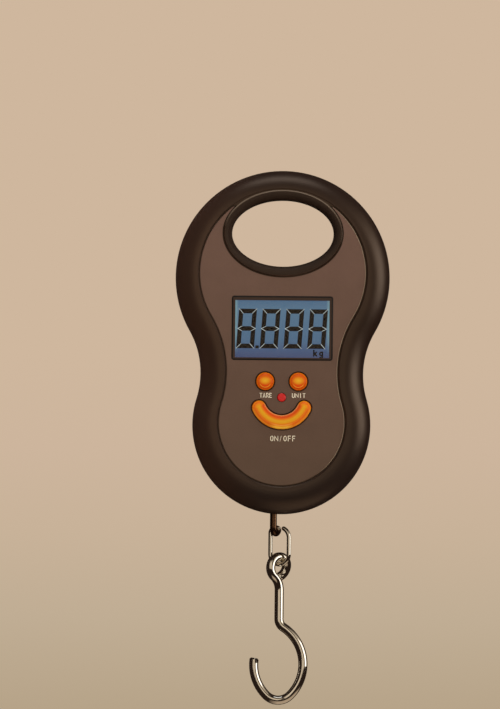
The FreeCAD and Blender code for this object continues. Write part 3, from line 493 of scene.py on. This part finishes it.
def curve_colour(tree):
    """Bands of painted shading along the curved button: a pale painted highlight line, red painted
    shade, yellow, orange, another pale painted highlight line and a bright painted rim.

    The bands follow its middle line, and round its two ends the colour follows the outline."""
    across, _, height = tree.place()
    side = tree.math("ABSOLUTE", across)
    drop = tree.math("SUBTRACT", height, LAMP.z)
    off_line = tree.math("SUBTRACT", tree.length(side, drop), CURVE_R)
    out = tree.span(off_line, -CURVE_HALF, CURVE_HALF)
    end_x = tree.math("SUBTRACT", side, CURVE_R * math.cos(CURVE_END))
    end_z = tree.math("ADD", drop, CURVE_R * math.sin(CURVE_END))
    past = tree.math("ADD", tree.math("MULTIPLY", end_x, math.sin(CURVE_END)),
                     tree.math("MULTIPLY", end_z, math.cos(CURVE_END)))
    past = tree.math("MAXIMUM", past, 0.0)
    end = tree.ramp(tree.span(tree.length(off_line, past), 0.0, CURVE_HALF), CURVE_ENDS)
    aside = tree.product(tree.span(off_line, *CURVE_SIDES_OUT),
                         tree.span(side, *CURVE_SIDES_ACROSS), CURVE_SIDES_SHARE)
    bands = tree.blend(aside, tree.ramp(out, CURVE_BANDS), tree.ramp(out, CURVE_SIDES))
    return tree.blend(tree.span(past, *CURVE_ENDS_PAST), bands, end)


# ------------------------------------------------------------------ inner pieces and metal
MASK_GREEN = srgb(24, 74, 44)
TRACK_GREEN = srgb(48, 112, 66)
# Stripes to the metre, and the share of their pitch that they fill.
TRACKS_ACROSS = (620.0, 0.3)
TRACKS_UP = (430.0, 0.16)
FILM_LINES = (2500.0, 0.5)
WANDER_SCALE = 90.0
WANDER = 0.012
SLEEVE_BLACK = srgb(30, 30, 32)
SLEEVE_COPPER = srgb(176, 112, 62)
SLEEVE_COPPER_FROM = -0.45
FILM_AMBER = srgb(176, 128, 58)
FILM_GRID = srgb(122, 84, 44)
WEAR_SCALE = 420.0
WEAR_SPAN = (0.4, 0.75)
WEAR_SHARE = 0.3
WORN_SHADE = 0.7
WIRE_GLOSS_SCALE = 2600.0
WIRE_GLOSS_LEAST = 0.6
WIRE_GLOSS_MOST = 1.4
WIRE_BUMP_SCALE = 900.0
WIRE_BUMP = 0.004 * MM


def board_colour(tree):
    """Green solder mask over copper tracks."""
    across, _, height = tree.place()
    wander = tree.math("MULTIPLY", tree.noise(WANDER_SCALE), WANDER)
    lines = tree.stripes(tree.math("ADD", across, wander), *TRACKS_ACROSS)
    rows = tree.stripes(tree.math("ADD", height, wander), *TRACKS_UP)
    return tree.blend(tree.math("MAXIMUM", lines, rows), MASK_GREEN, TRACK_GREEN)


def jacket_colour(tree):
    """A battery's printed sleeve: black with a copper band at one end, the other way up in each."""
    across, _, height = tree.place()
    turned = tree.product(tree.math("SIGN", across), tree.math("SUBTRACT", height, BATTERY.z))
    band = tree.math("LESS_THAN", turned, SLEEVE_COPPER_FROM * BATTERY_HALF.z)
    return tree.blend(band, SLEEVE_BLACK, SLEEVE_COPPER)


def film_colour(tree):
    """Amber film with the grid of a strain gauge."""
    _, _, height = tree.place()
    return tree.blend(tree.stripes(height, *FILM_LINES), FILM_AMBER, FILM_GRID)


def steel_wire(name, colour, roughness):
    """Plated wire: metal with a little wear in its colour and gloss, and a faint unevenness."""
    material, tree, shader = new_material(name)
    shader.inputs["Metallic"].default_value = 1.0
    wear = tree.span(tree.noise(WEAR_SCALE, detail=5.0), *WEAR_SPAN, 0.0, WEAR_SHARE)
    worn = tuple(WORN_SHADE * part for part in colour[:3]) + (1.0,)
    tree.feed(shader.inputs["Base Color"], tree.blend(wear, colour, worn))
    gloss = tree.span(tree.noise(WIRE_GLOSS_SCALE), *NOISE_MOST,
                      WIRE_GLOSS_LEAST * roughness, WIRE_GLOSS_MOST * roughness)
    tree.feed(shader.inputs["Roughness"], gloss)
    tree.feed(shader.inputs["Normal"], tree.bump(tree.noise(WIRE_BUMP_SCALE), WIRE_BUMP))
    return material


# ------------------------------------------------------------------ finishes
WARM_GLOSS = srgb(255, 224, 198)
METAL = {"Metallic": 1.0}
BUTTON_SKIN = {"mottle": 0.03, "depth": 0.0, "Specular_IOR_Level": 0.12}
BUTTON_ROUGHNESS = 0.34
LAMP_LENS = {"mottle": 0.08, "depth": 0.0, "Coat_Weight": 0.5, "Coat_Roughness": 0.08,
             "Subsurface_Weight": 0.15, "Subsurface_Scale": 0.6 * MM}

# Each slot's colour, roughness and further settings, as surface() takes them.
FINISHES = {
    "case_black": (case_colour, 0.38, {
        "mottle": 0.05, "grain": 4200.0, "depth": 0.006 * MM, "dull": case_dullness,
        "Specular_IOR_Level": 0.85, "Specular_Tint": WARM_GLOSS}),
    "panel_grey": (panel_colour, 0.55, {
        "mottle": 0.04, "grain": 5200.0, "depth": 0.008 * MM,
        "Specular_IOR_Level": 0.3, "Specular_Tint": WARM_GLOSS}),
    "bezel_black": (bezel_colour, 0.4, {"Specular_IOR_Level": 0.4}),
    "light_guide": (srgb(206, 214, 222), 0.35, {"Transmission_Weight": 0.3}),
    "zebra_rubber": (srgb(196, 150, 150), 0.7, {}),
    "holder_white": (srgb(208, 204, 196), 0.45, {}),
    "button_orange": (cap_colour, BUTTON_ROUGHNESS, BUTTON_SKIN),
    "plunger_white": (srgb(214, 208, 196), 0.4, {}),
    "switch_black": (srgb(30, 30, 32), 0.4, {}),
    "lamp_red": (srgb(208, 34, 30), 0.2, LAMP_LENS),
    "board_green": (board_colour, 0.35, {"Coat_Weight": 0.3}),
    "epoxy_black": (srgb(20, 20, 21), 0.2, {}),
    "component_tan": (srgb(164, 132, 96), 0.5, {}),
    "screw_steel": (srgb(168, 162, 154), 0.3, METAL),
    "cell_alloy": (srgb(186, 186, 188), 0.35, METAL),
    "gauge_film": (film_colour, 0.35, {"grain": 5000.0}),
    "cable_grey": (srgb(96, 96, 98), 0.5, {}),
    "battery_jacket": (jacket_colour, 0.3, {"Coat_Weight": 0.4}),
    "contact_nickel": (srgb(190, 184, 172), 0.25, METAL),
    "wire_red": (srgb(158, 30, 26), 0.45, {}),
}


def make_looks():
    """One finish for each material slot of the record."""
    looks = {slot: surface(slot, colour, roughness, **settings)
             for slot, (colour, roughness, settings) in FINISHES.items()}
    looks["window_clear"] = window_material()
    looks["lcd_face"] = display_material()
    looks["hanger_steel"] = steel_wire("hanger_steel", srgb(104, 76, 56), 0.26)
    looks["wire_chrome"] = steel_wire("wire_chrome", srgb(244, 238, 226), 0.07)
    return looks


def paint_frame(looks):
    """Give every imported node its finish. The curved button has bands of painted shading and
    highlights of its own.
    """
    for row in frame["record"]["subparts"]:
        piece = frame["nodes"][row["node"]]
        for slot in piece.material_slots:
            slot.material = looks[row["material_slot"]]
    banded = surface("button_orange_smile", curve_colour, BUTTON_ROUGHNESS, **BUTTON_SKIN)
    for slot in frame["nodes"]["power_button"].material_slots:
        slot.material = banded


# ------------------------------------------------------------------ thin printed shapes
def make_plates(name, polygons, front, depth, material, body="case"):
    """Thin solids, one for each outline of (x, z) points, from front back by depth."""
    mesh = bmesh.new()
    for outline in polygons:
        face = [mesh.verts.new((x, front, z)) for x, z in outline]
        rear = [mesh.verts.new((x, front + depth, z)) for x, z in outline]
        mesh.faces.new(face)
        mesh.faces.new(reversed(rear))
        for index, corner in enumerate(face):
            after = (index + 1) % len(face)
            mesh.faces.new((corner, rear[index], rear[after], face[after]))
    bmesh.ops.recalc_face_normals(mesh, faces=mesh.faces)
    data = bpy.data.meshes.new(name)
    mesh.to_mesh(data)
    mesh.free()
    piece = bpy.data.objects.new(name, data)
    bpy.context.scene.collection.objects.link(piece)
    piece.data.materials.append(material)
    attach(piece, body)


def bow(centre_x, centre_z, half_x, half_z, start, end, steps=8):
    """Points along an elliptical arc, angles in degrees from +X towards +Z."""
    points = []
    for index in range(steps + 1):
        angle = math.radians(start + (end - start) * index / steps)
        points.append((centre_x + half_x * math.cos(angle), centre_z + half_z * math.sin(angle)))
    return points


MITRE_LEAST = 0.55
CAP_STEPS = 6


def stroke(points, width):
    """The outline of one pen stroke with round ends and mitred corners."""
    left, right = [], []
    line = [Vector(point) for point in points]
    for index, point in enumerate(line):
        before = line[max(index - 1, 0)]
        after = line[min(index + 1, len(line) - 1)]
        come = (point - before) if index else (after - point)
        go = (after - point) if index < len(line) - 1 else (point - before)
        come.normalize()
        go.normalize()
        side = Vector((-(come.y + go.y), come.x + go.x)).normalized()
        reach = width / 2 / max(side.dot(Vector((-come.y, come.x))), MITRE_LEAST)
        left.append(point + side * reach)
        right.append(point - side * reach)

    def cap(centre, edge):
        """Half a turn clockwise about centre, from edge to the point opposite."""
        arm = edge - centre
        turns = [math.radians(-180 * index / CAP_STEPS) for index in range(1, CAP_STEPS)]
        return [centre + Vector((arm.x * math.cos(a) - arm.y * math.sin(a),
                                 arm.x * math.sin(a) + arm.y * math.cos(a))) for a in turns]

    outline = left + cap(line[-1], left[-1]) + right[::-1] + cap(line[0], right[0])
    return [(point.x, point.y) for point in outline]


# Pen strokes of each letter, one unit high, in a cell half a unit wide.
CELL = 0.5
GLYPHS = {
    "T": [[(0.0, 1.0), (0.5, 1.0)], [(0.25, 1.0), (0.25, 0.0)]],
    "A": [[(0.0, 0.0), (0.25, 1.0), (0.5, 0.0)], [(0.09, 0.33), (0.41, 0.33)]],
    "R": [[(0.0, 0.0), (0.0, 1.0)] + bow(0.26, 0.75, 0.22, 0.25, 90, -90) + [(0.0, 0.5)],
          [(0.24, 0.5), (0.5, 0.0)]],
    "E": [[(0.46, 1.0), (0.0, 1.0), (0.0, 0.0), (0.48, 0.0)], [(0.0, 0.52), (0.38, 0.52)]],
    "U": [[(0.0, 1.0)] + bow(0.25, 0.26, 0.25, 0.26, 180, 360) + [(0.5, 1.0)]],
    "N": [[(-0.08, 0.0), (-0.08, 1.0)], [(-0.06, 0.94), (0.56, 0.06)], [(0.58, 0.0), (0.58, 1.0)]],
    "I": [[(0.25, 1.0), (0.25, 0.0)]],
    "O": [bow(0.25, 0.5, 0.25, 0.5, 90, 270, steps=12),
          bow(0.25, 0.5, 0.25, 0.5, 90, -90, steps=12)],
    "F": [[(0.48, 1.0), (0.0, 1.0), (0.0, 0.0)], [(0.0, 0.52), (0.4, 0.52)]],
    "/": [[(0.1, -0.05), (0.4, 1.05)]],
    "k": [[(0.0, 0.0), (0.0, 1.0)], [(0.46, 0.66), (0.02, 0.26)], [(0.16, 0.38), (0.5, 0.0)]],
    "g": [[(0.46, 0.66)] + bow(0.23, 0.36, 0.23, 0.29, 90, 270, steps=10) + [(0.46, 0.07)],
          [(0.46, 0.68), (0.46, -0.14)] + bow(0.23, -0.14, 0.23, 0.2, 0, -140, steps=6)],
}
# These are drawn with this share of the pen's width, so that they don't fill in.
FINE = {"/": 0.5, "N": 0.72}


def lettering(text, centre_x, centre_z, cap, pitch, pen):
    """Outlines of a line of letters about a middle point. pitch is from letter to letter."""
    left = centre_x - ((len(text) - 1) * pitch + CELL * cap) / 2
    outlines = []
    for index, letter in enumerate(text):
        for points in GLYPHS[letter]:
            placed = [(left + index * pitch + x * cap, centre_z + (z - 0.5) * cap)
                      for x, z in points]
            outlines.append(stroke(placed, pen * FINE.get(letter, 1.0)))
    return outlines


# ------------------------------------------------------------------ legends
LEGEND_INK = srgb(255, 244, 214)
LEGEND_PEN = 0.22 * MM
LEGEND_PROUD = 0.02 * MM
LEGEND_DEPTH = 0.03 * MM
ROUND_DROP = 4.9 * MM
CURVE_DROP = 2.3 * MM
ROUND_CAP = 1.45 * MM
CURVE_CAP = 1.75 * MM
# Each legend's piece, text, middle point, letter height and pitch.
LEGENDS = (
    ("legend_tare", "TARE", TARE.x + 0.25 * MM, TARE.z - ROUND_DROP, ROUND_CAP, 1.13 * MM),
    ("legend_unit", "UNIT", UNIT.x + 0.15 * MM, UNIT.z - ROUND_DROP, ROUND_CAP, 1.24 * MM),
    ("legend_on_off", "ON/OFF", LAMP.x + 0.55 * MM, CURVE_LOW - CURVE_DROP, CURVE_CAP, 1.54 * MM),
)


def make_legends():
    """Cream legends printed under the buttons."""
    ink = surface("legend_ink", LEGEND_INK, 0.6, mottle=0.05, depth=0.0)
    for name, text, x, z, cap, pitch in LEGENDS:
        outlines = lettering(text, x, z, cap, pitch, LEGEND_PEN)
        make_plates(name, outlines, PANEL_FRONT - LEGEND_PROUD, LEGEND_DEPTH, ink)


# ------------------------------------------------------------------ display digits
LCD_INK = srgb(5, 3, 3)
LCD_GAP = srgb(40, 50, 54)
LCD_GAP_GLOW = srgb(206, 218, 216)
DIGITS = 4
DIGIT_H = 13.8 * MM
DIGIT_MID = DIGIT_H / 2
DIGIT_W = 6.25 * MM
DIGIT_PITCH = 8.28 * MM
DIGIT_LEFT = DISPLAY.x - 16.1 * MM
DIGIT_FOOT = DISPLAY.z - 7.1 * MM
BAR_ACROSS = 1.6 * MM
BAR_UP = 1.55 * MM
SEGMENT_GAP = 0.1 * MM
SLANT = math.tan(math.radians(4.0))
PALE_PEN = 0.15 * MM
PALE_BEHIND = 0.005 * MM
PALE_DEPTH = 0.015 * MM
INK_PROUD = 0.03 * MM
INK_DEPTH = 0.025 * MM
POINT_GAP = 0.45 * MM
POINT_W = 1.2 * MM
POINT_H = 1.0 * MM
KG_X = DISPLAY.x + 12.65 * MM
KG_Z = DISPLAY.z - 8.62 * MM
KG_CAP = 1.95 * MM
KG_PITCH = 2.1 * MM
KG_PEN = 0.52 * MM


def mirrored(shapes):
    """The shapes, turned left for right in a digit's box."""
    return [[(DIGIT_W - x, z) for x, z in shape] for shape in shapes]


def segments():
    """The seven bars of an 8 in its own upright box, mitred at the corners."""
    w, h, mid = DIGIT_W, DIGIT_H, DIGIT_MID
    a, u, g = BAR_ACROSS, BAR_UP, SEGMENT_GAP
    top = [(g, h), (w - g, h), (w - u - g, h - a), (u + g, h - a)]
    centre = [(2 * g, mid), (u + g, mid + a / 2), (w - u - g, mid + a / 2), (w - 2 * g, mid),
              (w - u - g, mid - a / 2), (u + g, mid - a / 2)]
    upper_left = [(0, h - g), (u, h - a - g), (u, mid + a / 2 + g), (0, mid + g)]
    upper = [top, upper_left] + mirrored([upper_left])
    lower = [[(x, h - z) for x, z in bar] for bar in upper]
    return upper + lower + [centre]


def pale_lines():
    """The lines between an 8's bars, in the same box."""
    corners = [
        [(0, DIGIT_H), (BAR_UP, DIGIT_H - BAR_ACROSS)],
        [(0, DIGIT_MID), (BAR_UP, DIGIT_MID + BAR_ACROSS / 2)],
        [(0, DIGIT_MID), (BAR_UP, DIGIT_MID - BAR_ACROSS / 2)],
        [(0, 0), (BAR_UP, BAR_ACROSS)],
    ]
    return [stroke(line, PALE_PEN) for line in corners + mirrored(corners)]


def slanted(outline, left):
    return [(left + x + z * SLANT, DIGIT_FOOT + z) for x, z in outline]


def make_digits():
    """Four slanted digits, the point, the unit, and the pale lines between the bars."""
    ink = surface("lcd_ink", LCD_INK, 0.6, mottle=0.1, depth=0.0, Specular_IOR_Level=0.04)
    clear = surface("lcd_gap", LCD_GAP, 0.5, depth=0.0, Emission_Strength=0.95,
                    Emission_Color=LCD_GAP_GLOW)
    front = GLASS_FRONT - INK_PROUD
    for index in range(DIGITS):
        left = DIGIT_LEFT + index * DIGIT_PITCH
        bars = [slanted(bar, left) for bar in segments()]
        make_plates(f"lcd_digit_{index + 1}", bars, front, INK_DEPTH, ink)
        lines = [slanted(line, left) for line in pale_lines()]
        make_plates(f"lcd_gaps_{index + 1}", lines, front + PALE_BEHIND, PALE_DEPTH, clear)
    point = [(0, 0), (POINT_W, 0), (POINT_W, POINT_H), (0, POINT_H)]
    point_left = DIGIT_LEFT + DIGIT_W + POINT_GAP
    make_plates("lcd_point", [slanted(point, point_left)], front, INK_DEPTH, ink)
    unit = lettering("kg", KG_X, KG_Z, KG_CAP, KG_PITCH, KG_PEN)
    make_plates("lcd_kg", unit, front, INK_DEPTH, ink)


# ------------------------------------------------------------------ studio
BACKDROP = srgb(207, 183, 158)
BACKDROP_LOW = srgb(180, 161, 134)
# From a little below the horizon up to it.
BACKDROP_HEIGHT = (-0.11, 0.0)
BACKDROP_TONES = (
    (0.0, BACKDROP), (0.4, BACKDROP_LOW), (0.6, BACKDROP_LOW), (0.72, srgb(192, 173, 148)),
    (0.81, srgb(200, 178, 153)), (0.9, srgb(205, 181, 157)), (1.0, BACKDROP))
EVEN_LIGHT = 0.88
ROOM_DARK = srgb(38, 28, 23)
ROOM_LIGHT = srgb(214, 198, 176)
ROOM_TILT = math.radians(20)
ROOM_TOP = (0.4, 0.75)
# Light cards round the object, in degrees to the right of the front, and their soft edges.
CARDS = ((-23, -4), (4, 24), (46, 102))
CARD_EDGE = 3

LIT_POINT = Vector((0.0, 0.0, -38 * MM))
SOFTBOX_DISTANCE = 1.0
# Each lamp's name, azimuth, elevation, width, height, power, and whether gloss shows it.
SOFTBOXES = (
    ("softbox_right", 73, 0, 0.62, 0.85, 2.25, True),
    ("softbox_top", 0, 80, 0.7, 0.45, 1.5, True),
    ("softbox_rear", 205, 40, 0.8, 0.6, 4.5, False),
)

FLOOR_RADIUS = 1.0
FLOOR_SEGMENTS = 128
FLOOR_DROP = 60 * MM
FLOOR_GLOW = srgb(176, 156, 134)
GLOW_OUT = (0.13, 0.09)
GLOW_ALONG = (0.05, 0.02)
GLOW_ACROSS = (-0.035, 0.0)

CAMERA_DISTANCE = 3.0
CAMERA_X = -11.2 * MM
CAMERA_Z = -42.5 * MM
CAMERA_ROLL = -0.534
VIEW_HEIGHT = 247.8 * MM


def make_world():
    """Warm paper behind the object, even light on it, and light and dark cards in its gloss."""
    world = bpy.data.worlds.new("studio")
    bpy.context.scene.world = world
    world.use_nodes = True
    world.node_tree.nodes.clear()
    tree = Tree(world.node_tree)
    across, along, height = tree.parts(tree.add("ShaderNodeTexCoord").outputs["Generated"])
    paper = tree.ramp(tree.span(height, *BACKDROP_HEIGHT), BACKDROP_TONES)
    aside = tree.math("ADD", tree.math("MULTIPLY", across, math.cos(ROOM_TILT)),
                      tree.math("MULTIPLY", height, math.sin(ROOM_TILT)))
    turn = tree.math("ARCTAN2", aside, tree.math("MULTIPLY", along, -1.0))
    edges = []
    for start, end in CARDS:
        edges += [(start - CARD_EDGE, ROOM_DARK), (start, ROOM_LIGHT),
                  (end, ROOM_LIGHT), (end + CARD_EDGE, ROOM_DARK)]
    stops = [((degrees + 180) / 360, colour) for degrees, colour in edges]
    room = tree.ramp(tree.span(turn, -math.pi, math.pi), stops)
    room = tree.blend(tree.span(height, *ROOM_TOP), room, ROOM_DARK)
    path = tree.add("ShaderNodeLightPath")
    seen = tree.math("MAXIMUM", path.outputs["Is Camera Ray"],
                     path.outputs["Is Transmission Ray"])
    light = tree.mix_shaders(path.outputs["Is Glossy Ray"],
                             tree.background(WHITE, EVEN_LIGHT), tree.background(room))
    shown = tree.mix_shaders(seen, light, tree.background(paper))
    tree.links.new(shown, tree.add("ShaderNodeOutputWorld").inputs[0])


def make_softbox(name, azimuth, elevation, width, height, power, in_gloss):
    """A soft lamp aimed at the case. Azimuth 0 is in front and 90 is to the right."""
    a, e = math.radians(azimuth), math.radians(elevation)
    away = Vector((math.sin(a) * math.cos(e), -math.cos(a) * math.cos(e), math.sin(e)))
    lamp = bpy.data.lights.new(name, "AREA")
    lamp.shape = "RECTANGLE"
    lamp.size = width
    lamp.size_y = height
    lamp.energy = power
    box = bpy.data.objects.new(name, lamp)
    box.location = LIT_POINT + away * SOFTBOX_DISTANCE
    box.rotation_mode = "QUATERNION"
    box.rotation_quaternion = away.to_track_quat("Z", "Y")
    box.visible_camera = False
    box.visible_glossy = in_gloss
    bpy.context.scene.collection.objects.link(box)


def make_floor():
    """A round pale floor some way below the hook."""
    mesh = bmesh.new()
    bmesh.ops.create_circle(mesh, cap_ends=True, segments=FLOOR_SEGMENTS, radius=FLOOR_RADIUS)
    data = bpy.data.meshes.new("floor")
    mesh.to_mesh(data)
    mesh.free()
    floor = bpy.data.objects.new("floor", data)
    floor.location = (0.0, 0.0, cad_box[0].z - FLOOR_DROP)
    bpy.context.scene.collection.objects.link(floor)
    paper = surface("floor_paper", BACKDROP, 0.9, mottle=0.02, grain=900.0, depth=0.0)
    darken_in_gloss(paper)
    data.materials.append(paper)


def darken_in_gloss(paper):
    """In the object's gloss the floor is dark, but for a light patch below the hook.

    The patch reaches further to the front and the right than to the back and the left."""
    tree = Tree(paper.node_tree)
    across, along, _ = tree.place()
    near = tree.product(tree.span(tree.length(across, along), *GLOW_OUT),
                        tree.span(along, *GLOW_ALONG), tree.span(across, *GLOW_ACROSS))
    glow = tree.add("ShaderNodeEmission")
    tree.links.new(tree.blend(near, ROOM_DARK, FLOOR_GLOW), glow.inputs["Color"])
    path = tree.add("ShaderNodeLightPath")
    shown = tree.mix_shaders(path.outputs["Is Glossy Ray"],
                             tree.nodes["Principled BSDF"].outputs[0], glow.outputs[0])
    tree.links.new(shown, tree.nodes["Material Output"].inputs["Surface"])


def make_camera():
    """A long lens straight in front, rolled so that the object leans as it hangs."""
    camera = bpy.data.cameras.new("camera")
    camera.lens = camera.sensor_width * CAMERA_DISTANCE / VIEW_HEIGHT
    holder = bpy.data.objects.new("camera", camera)
    holder.location = (CAMERA_X, PANEL_FRONT - CAMERA_DISTANCE, CAMERA_Z)
    holder.rotation_euler = (math.radians(90), math.radians(CAMERA_ROLL), 0)
    bpy.context.scene.collection.objects.link(holder)
    bpy.context.scene.camera = holder


make_camera()
make_world()
for softbox in SOFTBOXES:
    make_softbox(*softbox)
make_floor()
paint_frame(make_looks())
make_legends()
make_digits()
bpy.context.scene.view_settings.view_transform = "Standard"
